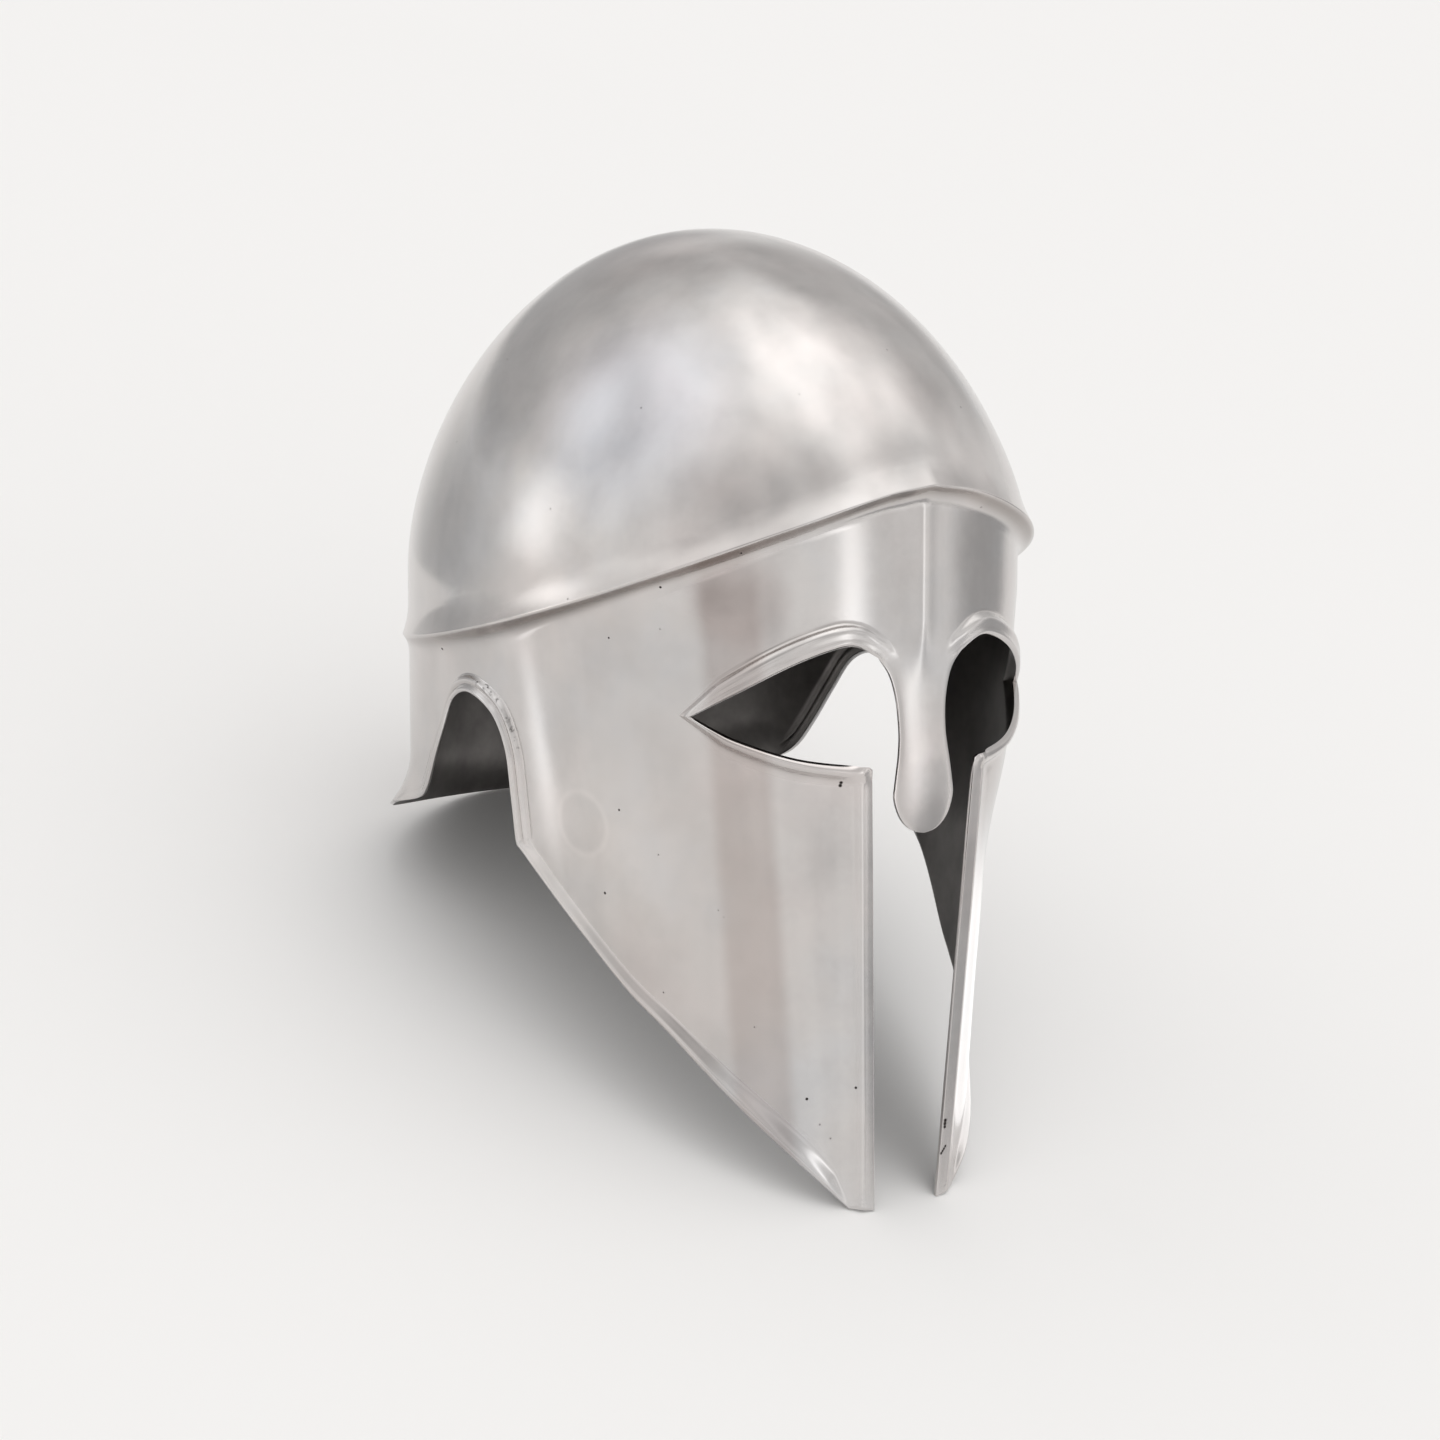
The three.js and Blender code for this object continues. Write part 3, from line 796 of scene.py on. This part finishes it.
def on_steel(degrees, height):
    """The point of the shell nearest to a place on the head; minus degrees are the right side."""
    around_axis = abs(degrees)
    if height > ridge_height(around_axis):
        point = around(around_axis, crown_radius(around_axis, height), height)
    else:
        point = roll_face(on_pattern(around_axis, height), 0)
    point.x = math.copysign(point.x, degrees)
    return shell.closest_point_on_mesh(lay_down_to_metres @ point)[1]


def spots(tree, place, rows):
    """One mask for round marks given as (degrees, height, radius in mm)."""
    mask = None
    for degrees, height, radius in rows:
        gap = gap_to(tree, place, on_steel(degrees, height))
        spot = faded(tree, gap, 0.6 * radius * MM, 1.3 * radius * MM)
        mask = spot if mask is None else math_node(tree, "MAXIMUM", mask, spot)
    return mask


print("a place on the right cheek:", [round(value, 4) for value in on_steel(-28, 100)])

# %% [markdown]
# ## Colour of the steel
# Clouds lean to blue on the crown and are a little warmer on the cheeks. A darker, rose-tinged band
# down the right cheek is a painted reflection, and a brighter patch on the right cheek in front of
# the ear is painted light. The hollows of the borders and the underside of the brow are darkened as
# painted shade. There are a few dark nicks and pits, a round stain with a pale ring, and rough pitting
# on the front of the ear arch. Each mark is a soft mask around a point of the shell, because a
# painted picture would need its own unwrapping.

# %% Steel material
NICKS = (
    (-16.1, 145, 0.6), (-16.2, 143.9, 0.6), (8.55, 26.4, 0.7), (8.5, 25.3, 0.7), (8.5, 24.2, 0.6),
    (8, 15.2, 0.5), (8.3, 15.9, 0.5), (8.6, 16.6, 0.5), (8.9, 17.4, 0.5), (-61.6, 104.3, 0.5),
    (-13.9, 235.5, 0.5), (-0.7, 241.8, 0.8), (-3.8, 241, 0.5), (-21, 231, 0.45), (-46.7, 207.5, 0.45),
    (-33, 219, 0.4), (-20.4, 40, 0.5), (-12, 43.3, 0.45), (-112.4, 178.5, 0.5), (-57.3, 190.1, 0.35),
    (-56.7, 133.3, 0.4),
)
EAR_PITS = (
    (-101.5, 169.8, 1.3), (-98.6, 169, 1.5), (-95.7, 167.6, 1.7), (-93.7, 165.8, 1.5), (-92, 163.6, 1.4),
    (-90.3, 160.9, 1.2), (-89, 158, 1.5), (-88, 155, 1.5), (-87.1, 152, 1.3), (-86.4, 149, 1.2),
    (-108.4, 161.5, 1.2), (-111.2, 156.5, 1.1),
)
STAIN = (-66.8, 127)
STAIN_RADIUS = 12.5

# The band of painted reflection: the direction across it and how far along that direction it lies, in mm
BAND_ACROSS = (0.788, -0.616, 0.07)
BAND_PLACE = 20.1
# Tinted clouds and one patch of painted light: degrees, height, size of the core and of the whole in mm,
# colour
CLOUDS_AND_PAINTED_LIGHT = (
    (-55, 264, 12, 48, (0.95, 0.985, 1.05, 1)), (-66, 200, 8, 36, (1.01, 0.99, 0.977, 1)),
    # The row at -66 degrees and 116 mm is painted light: it brightens the right cheek in front of the ear
    (-45, 100, 20, 75, (1.005, 0.99, 0.98, 1)), (-66, 116, 16, 48, (1.12, 1.12, 1.115, 1)),
    (-33.5, 203, 9, 20, (0.87, 0.84, 0.83, 1)),
)

# Where the band fades out, in mm: across it, at its top and towards the ear
BAND_SIDES = (6.5, 12)
BAND_TOP = (205, 216)
BAND_BACK = (-40, -20)
# Scales of the noise: about so many patches in a metre
CLOUD_SCALE = 15
HAZE_SCALE = 38
STREAK_SCALE = 70
SPECK_SCALE = 75
PIT_SCALE = 1000
# Clouds of the steel itself, from bluish to rose
STEEL_TINTS = ((0.32, (0.617, 0.608, 0.61)), (0.48, (0.637, 0.614, 0.602)), (0.68, (0.658, 0.617, 0.602)))

steel = bpy.data.materials.new("polished_steel")
steel.use_nodes = True
tree = steel.node_tree
surface = tree.nodes["Principled BSDF"]
place = add_node(tree, "ShaderNodeTexCoord").outputs["Object"]
# The same place as if the helmet stood upright, for streaks that run down the cheeks
stand_up = add_node(tree, "ShaderNodeMapping")
tree.links.new(place, stand_up.inputs["Vector"])
stand_up.inputs["Rotation"].default_value = (REST_TILT, 0, 0)
stand_up.inputs["Location"].default_value = Matrix.Rotation(REST_TILT, 3, "X") @ REST_PLACE * -MM
upright = stand_up.outputs["Vector"]
stretch = add_node(tree, "ShaderNodeVectorMath", operation="MULTIPLY")
tree.links.new(upright, stretch.inputs[0])
stretch.inputs[1].default_value = (1, 1, 0.12)
streak = noise_cloud(tree, stretch.outputs["Vector"], STREAK_SCALE, 2)

cloud = noise_cloud(tree, place, CLOUD_SCALE, 4, 0.6)
tint = ramp_of(tree, cloud, STEEL_TINTS)
haze = noise_cloud(tree, place, HAZE_SCALE, 5, 0.62)
tint = blend_colours(tree, "MULTIPLY", 1.0, tint, ramp_of(tree, haze, ((0.3, 0.9), (0.6, 1.0))))
tint = blend_colours(tree, "MULTIPLY", 1.0, tint, ramp_of(tree, streak, ((0.3, 0.955), (0.65, 1.0))))

# Painted reflection: a darker, rose-tinged band runs down the right side of the face, past the eye, in
# place of the reflection of something beside the helmet
across = add_node(tree, "ShaderNodeVectorMath", operation="DOT_PRODUCT")
tree.links.new(upright, across.inputs[0])
across.inputs[1].default_value = BAND_ACROSS
off_band = math_node(tree, "SUBTRACT", across.outputs["Value"], BAND_PLACE * MM)
from_band = math_node(tree, "ABSOLUTE", off_band)
split = add_node(tree, "ShaderNodeSeparateXYZ")
tree.links.new(upright, split.inputs["Vector"])
painted_reflection_band = faded(tree, from_band, *(edge * MM for edge in BAND_SIDES))
for axis, edges in (("Z", BAND_TOP), ("Y", BAND_BACK)):
    inside_edge = faded(tree, split.outputs[axis], *(edge * MM for edge in edges))
    painted_reflection_band = math_node(tree, "MULTIPLY", painted_reflection_band, inside_edge)
tint = blend_colours(tree, "MULTIPLY", painted_reflection_band, tint, (0.85, 0.818, 0.807, 1))

# The clouds tint the steel, and the brightening row adds painted light
for degrees, height, core, reach, colour in CLOUDS_AND_PAINTED_LIGHT:
    cloud_and_light_mask = faded(tree, gap_to(tree, place, on_steel(degrees, height)), core * MM, reach * MM)
    tint = blend_colours(tree, "MULTIPLY", cloud_and_light_mask, tint, colour)

# Painted shade: a darker colour in the hollows of the borders and just below the crest of the brow
painted_hollow_shade = add_node(tree, "ShaderNodeAttribute", attribute_name="painted_shade").outputs["Fac"]
tint = blend_colours(tree, "MULTIPLY", painted_hollow_shade, tint, (0.62, 0.59, 0.57, 1))

stain_gap = math_node(tree, "DIVIDE", gap_to(tree, place, on_steel(*STAIN)), STAIN_RADIUS * MM)
ring = ramp_of(tree, stain_gap, ((0.0, 0.97), (0.72, 0.96), (0.86, 1.05), (1.0, 1.0)))
tint = blend_colours(tree, "MULTIPLY", 1.0, tint, ring)

pits = faded(tree, noise_cloud(tree, place, PIT_SCALE, 3, 0.65), 0.44, 0.49)
pits = math_node(tree, "MULTIPLY", pits, spots(tree, place, EAR_PITS))
dark = math_node(tree, "MAXIMUM", pits, spots(tree, place, NICKS))
specks = add_node(tree, "ShaderNodeTexVoronoi")
specks.inputs["Scale"].default_value = SPECK_SCALE
tree.links.new(place, specks.inputs["Vector"])
fine = math_node(tree, "MULTIPLY", faded(tree, specks.outputs["Distance"], 0.015, 0.04), 0.5)
dark = math_node(tree, "MAXIMUM", dark, fine)
tint = blend_colours(tree, "MIX", dark, tint, (0.035, 0.03, 0.028, 1))
tree.links.new(tint, surface.inputs["Base Color"])

surface.inputs["Metallic"].default_value = 1
gloss = ramp_of(tree, haze, ((0.25, 0.12), (0.75, 0.21)))
gloss = math_node(tree, "ADD", gloss, math_node(tree, "MULTIPLY", dark, 0.4))
tree.links.new(gloss, surface.inputs["Roughness"])
print(len(NICKS), "nicks,", len(EAR_PITS), "pitted places and a stain")

# %% Blackened inside
inside = bpy.data.materials.new("blackened_inside")
inside.use_nodes = True
tree = inside.node_tree
surface = tree.nodes["Principled BSDF"]
place = add_node(tree, "ShaderNodeTexCoord").outputs["Object"]
soot = noise_cloud(tree, place, 40, 4, 0.6)
soot_colour = ramp_of(tree, soot, ((0.3, (0.11, 0.104, 0.1)), (0.75, (0.22, 0.208, 0.2))))
tree.links.new(soot_colour, surface.inputs["Base Color"])
surface.inputs["Metallic"].default_value = 0.9
surface.inputs["Roughness"].default_value = 0.4

shell_mesh.materials.append(steel)
shell_mesh.materials.append(inside)
print("materials:", [material.name for material in shell_mesh.materials])

# %% [markdown]
# ## Floor and light
# A polished thing shows its surroundings more than itself, so the studio matters as much as the
# steel. The floor is pale and wide. Lamps would leave hard bright shapes in the polish, so the light
# comes from a tent of pale cloth, as photographers use. Here the tent is the world: it is a little
# brighter at the top and has soft patches, some brighter and some darker.

# %% Pale floor
FLOOR_SIZE = 8

floor_bm = bmesh.new()
bmesh.ops.create_grid(floor_bm, x_segments=1, y_segments=1, size=FLOOR_SIZE)
floor_mesh = bpy.data.meshes.new("studio_floor")
floor_bm.to_mesh(floor_mesh)
floor_bm.free()
floor = bpy.data.objects.new("studio_floor", floor_mesh)
bpy.context.scene.collection.objects.link(floor)
paper = bpy.data.materials.new("pale_paper")
paper.use_nodes = True
paper.node_tree.nodes["Principled BSDF"].inputs["Base Color"].default_value = (0.93, 0.925, 0.92, 1)
paper.node_tree.nodes["Principled BSDF"].inputs["Roughness"].default_value = 0.9
floor_mesh.materials.append(paper)
print("floor is", 2 * FLOOR_SIZE, "m wide")

# %% Light tent
def from_camera(right, up, back):
    """A direction given as the camera sees it, in the frame of the lying helmet."""
    return (rest_view.to_3x3() @ Vector((right, up, back))).normalized()


world = bpy.data.worlds.new("light_tent")
bpy.context.scene.world = world
world.use_nodes = True
tree = world.node_tree
towards = add_node(tree, "ShaderNodeTexCoord").outputs["Generated"]


def glow(tree, towards, direction, core, reach, strength):
    """A soft patch of light in the tent: full within core degrees and gone beyond reach degrees."""
    dot = add_node(tree, "ShaderNodeVectorMath", operation="DOT_PRODUCT")
    tree.links.new(towards, dot.inputs[0])
    dot.inputs[1].default_value = direction
    fade = add_node(tree, "ShaderNodeMapRange", interpolation_type="SMOOTHSTEP")
    tree.links.new(dot.outputs["Value"], fade.inputs["Value"])
    fade.inputs["From Min"].default_value = math.cos(math.radians(reach))
    fade.inputs["From Max"].default_value = math.cos(math.radians(core))
    fade.inputs["To Max"].default_value = strength
    return fade.outputs["Result"]


split = add_node(tree, "ShaderNodeSeparateXYZ")
tree.links.new(towards, split.inputs["Vector"])
tent = ramp_of(tree, split.outputs["Z"], ((0.0, 0.9), (0.1, 0.88), (0.25, 0.88), (0.6, 0.94), (1.0, 1.05)))
# Adding nothing turns the grey of the ramp into a plain number
light_sum = math_node(tree, "ADD", tent, 0)
# Direction as the camera sees it, degrees of the core and of the reach, and strength
GLOWS = (
    ((0.36, 0.9, 0.24), 4, 35, 0.42),
    ((-0.46, 0.74, 0.48), 4, 24, 0.16),
    ((-0.62, 0.62, -0.48), 8, 36, -0.2),
    ((-0.1, 0.8, -0.58), 8, 34, -0.2),
    ((0.5, 0.66, -0.55), 8, 38, -0.25),
    ((0.75, 0.45, 0.5), 10, 40, -0.2),
    ((-0.2, 0.38, 0.9), 6, 24, -0.34),
    ((0.22, 0.56, 0.8), 3, 20, -0.22),
    ((0.1, 0.2, 0.97), 8, 30, -0.1),
)
for direction, core, reach, strength in GLOWS:
    patch = glow(tree, towards, from_camera(*direction), core, reach, strength)
    light_sum = math_node(tree, "ADD", light_sum, patch)
drift = ramp_of(tree, noise_cloud(tree, towards, 3.4, 3), ((0.3, 0.84), (0.7, 1.26)))
light_sum = math_node(tree, "MULTIPLY", light_sum, drift)
tree.nodes["Background"].inputs["Color"].default_value = (1, 0.99, 0.98, 1)
tree.links.new(light_sum, tree.nodes["Background"].inputs["Strength"])
bpy.context.scene.view_settings.view_transform = "Standard"
print(len(GLOWS), "soft patches in the tent")

# %% [markdown]
# ## Cards for the reflections
# Photographers set cards around polished metal: pale ones make highlights and grey ones make the
# dark lines that show its form. A real card would also light the floor. Here each card is a disc
# with a soft edge that glows, and its ray visibility lets only reflections see it. A low grey half
# band stands behind the helmet, where the far edge of a studio table would be.

# %% Soft cards and the grey band
def only_reflected(piece):
    piece.visible_camera = False
    piece.visible_diffuse = False
    piece.visible_shadow = False
    piece.visible_transmission = False


def glowing(name, strength, coordinate_output, stops):
    """A glow that a ramp fades into clear; the ramp runs along the given value."""
    material = bpy.data.materials.new(name)
    material.use_nodes = True
    tree = material.node_tree
    tree.nodes.clear()
    cover = coordinate_output(tree, stops)
    light = add_node(tree, "ShaderNodeEmission")
    light.inputs["Strength"].default_value = strength
    mix = add_node(tree, "ShaderNodeMixShader")
    tree.links.new(cover, mix.inputs[0])
    tree.links.new(add_node(tree, "ShaderNodeBsdfTransparent").outputs[0], mix.inputs[1])
    tree.links.new(light.outputs[0], mix.inputs[2])
    tree.links.new(mix.outputs[0], add_node(tree, "ShaderNodeOutputMaterial").inputs["Surface"])
    return material


def from_centre(tree, stops):
    length = add_node(tree, "ShaderNodeVectorMath", operation="LENGTH")
    tree.links.new(add_node(tree, "ShaderNodeTexCoord").outputs["Object"], length.inputs[0])
    return ramp_of(tree, length.outputs["Value"], stops, "EASE")


def behind_helmet(tree, stops):
    split = add_node(tree, "ShaderNodeSeparateXYZ")
    tree.links.new(add_node(tree, "ShaderNodeTexCoord").outputs["Object"], split.inputs["Vector"])
    upwards = ramp_of(tree, math_node(tree, "DIVIDE", split.outputs["Z"], BAND_HEIGHT), stops)
    return math_node(tree, "SUBTRACT", upwards, faded(tree, split.outputs["Y"], *BAND_ENDS))


def soft_card(name, seen_from, towards, distance, half_size, even, strength):
    """A card facing a point of the upright helmet, in a direction as the camera sees it."""
    card_bm = bmesh.new()
    bmesh.ops.create_circle(card_bm, cap_ends=True, segments=48, radius=1)
    card_mesh = bpy.data.meshes.new(name)
    card_bm.to_mesh(card_mesh)
    card_bm.free()
    card_mesh.materials.append(glowing(name, strength, from_centre, ((even, 1.0), (1.0, 0.0))))
    card = bpy.data.objects.new(name, card_mesh)
    direction = from_camera(*towards)
    side = (lay_down.to_3x3() @ Vector((0, 0, 1))).cross(direction).normalized()
    turn = Matrix((side, direction.cross(side), direction)).transposed()
    card.rotation_euler = turn.to_euler()
    card.location = lay_down_to_metres @ Vector(seen_from) + direction * distance
    card.scale = (*half_size, 1)
    bpy.context.scene.collection.objects.link(card)
    only_reflected(card)


CARDS = (
    ("forehead_card", (0, -110, 215), (0.71, -0.3, 0.63), 0.7, (0.12, 0.27), 0, 1.8),
    ("temple_card", (-86, -13, 152), (-0.94, -0.27, -0.2), 0.09, (0.011, 0.06), 0, 1.5),
    ("ear_card", (-86, 14, 222), (-0.97, 0.22, 0.02), 0.6, (0.17, 0.19), 0, 1.6),
    ("crown_card", (-60, -20, 270), (-0.8, 0.58, 0.05), 0.9, (0.2, 0.3), 0, 1.2),
    ("far_cheek_card", (38, -98, 45), (0.63, -0.07, -0.77), 0.04, (0.05, 0.09), 0.5, 1.4),
    ("side_shade", (-92, 18, 215), (-0.8, 0.12, -0.58), 0.25, (0.18, 0.18), 0, 0.5),
    ("keel_card", (0, -112, 212), (0.95, -0.18, 0.22), 0.7, (0.055, 0.27), 0, 1.8),
    ("forehead_shade", (28, -98, 208), (0.915, -0.05, -0.4), 0.3, (0.16, 0.17), 0.4, 0.46),
    ("flange_shade", (58, -107, 42), (0.96, -0.18, 0.22), 0.3, (0.09, 0.17), 0.4, 0.52),
)
for card_row in CARDS:
    soft_card(*card_row)

BAND_RADIUS = 0.95
BAND_HEIGHT = 0.45
# How far back the two ends of the half band fade out
BAND_ENDS = (0.74, 0.87)
# Share of the height and how dense the band is there
BAND_FADE = ((0.0, 0.0), (0.15, 1.0), (0.55, 1.0), (1.0, 0.0))
band_bm = bmesh.new()
bmesh.ops.create_circle(band_bm, cap_ends=False, segments=96, radius=BAND_RADIUS)
made = bmesh.ops.extrude_edge_only(band_bm, edges=band_bm.edges)["geom"]
raised = [item for item in made if isinstance(item, bmesh.types.BMVert)]
bmesh.ops.translate(band_bm, verts=raised, vec=(0, 0, BAND_HEIGHT))
band_mesh = bpy.data.meshes.new("grey_band")
band_bm.to_mesh(band_mesh)
band_bm.free()
band_mesh.materials.append(glowing("grey_band", 0.5, behind_helmet, BAND_FADE))
band = bpy.data.objects.new("grey_band", band_mesh)
bpy.context.scene.collection.objects.link(band)
only_reflected(band)
print(len(CARDS), "soft cards and a band", 2 * BAND_RADIUS, "m across")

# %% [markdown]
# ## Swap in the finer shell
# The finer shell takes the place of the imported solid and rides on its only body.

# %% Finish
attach(shell, "root")
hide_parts("helmet_shell")
